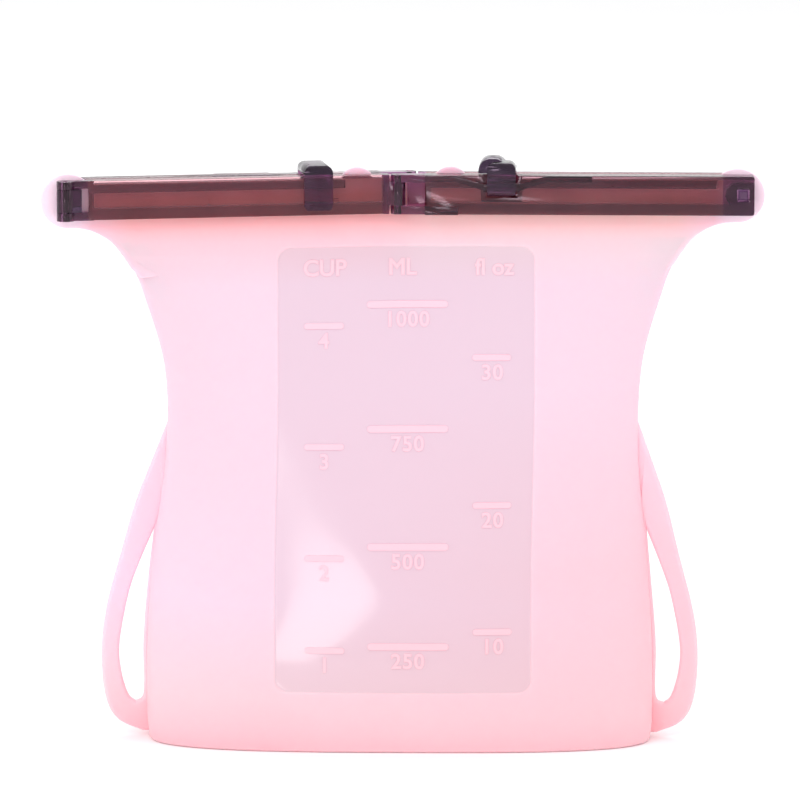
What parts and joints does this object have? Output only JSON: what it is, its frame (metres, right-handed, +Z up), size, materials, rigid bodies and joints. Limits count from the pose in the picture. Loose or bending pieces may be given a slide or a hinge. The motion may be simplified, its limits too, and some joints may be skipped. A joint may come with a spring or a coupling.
{
  "type": "reusable silicone bag",
  "caption": "Stand-up silicone food bag with side handle loops, closed by a folding hinged clip with flip-over latches.",
  "frame": {"origin": "on the surface that the bag stands on, at the centre of the object's box", "axes": "+X along the clip towards its snap end, +Y from front to back, +Z up through the mouth"},
  "size_m": [0.2484, 0.062, 0.2032],
  "materials": {
    "silicone": "matte",
    "smoky_plastic": "gloss",
    "pin_plastic": "gloss"
  },
  "bodies": {
    "bag_and_back_left_bar": {"silicone_bag": "silicone", "back_left_bar": "smoky_plastic", "left_end_hinge_pin": "pin_plastic"},
    "front_left_arm": {"front_left_bar": "smoky_plastic", "front_centre_hinge_pin": "pin_plastic"},
    "front_right_arm": {"front_right_bar": "smoky_plastic"},
    "back_right_arm": {"back_right_bar": "smoky_plastic", "back_centre_hinge_pin": "pin_plastic"},
    "left_latch": {"left_latch": "smoky_plastic"},
    "right_latch": {"right_latch": "smoky_plastic"}
  },
  "joints": [
    {"name": "left_end_hinge", "type": "hinge", "parent": "bag_and_back_left_bar", "child": "front_left_arm", "pos_m": [-0.11546, -0.02223, 0.1908], "axis": [0, 0, -1], "range_deg": [0, 120]},
    {"name": "front_centre_hinge", "type": "hinge", "parent": "front_left_arm", "child": "front_right_arm", "pos_m": [-0.0019, -0.0044, 0.1908], "axis": [0, 0, -1], "range_deg": [0, 105]},
    {"name": "back_centre_hinge", "type": "hinge", "parent": "bag_and_back_left_bar", "child": "back_right_arm", "pos_m": [0.0019, 0.0044, 0.1908], "axis": [0, 0, 1], "range_deg": [0, 120]},
    {"name": "left_latch_hinge", "type": "hinge", "parent": "bag_and_back_left_bar", "child": "left_latch", "pos_m": [-0.03121, 0.00225, 0.1934], "axis": [-0.9882, -0.153, 0], "range_deg": [0, 105]},
    {"name": "right_latch_hinge", "type": "hinge", "parent": "front_right_arm", "child": "right_latch", "pos_m": [0.03355, -0.00853, 0.1934], "axis": [0.999, -0.0454, 0], "range_deg": [0, 105]}
  ]
}
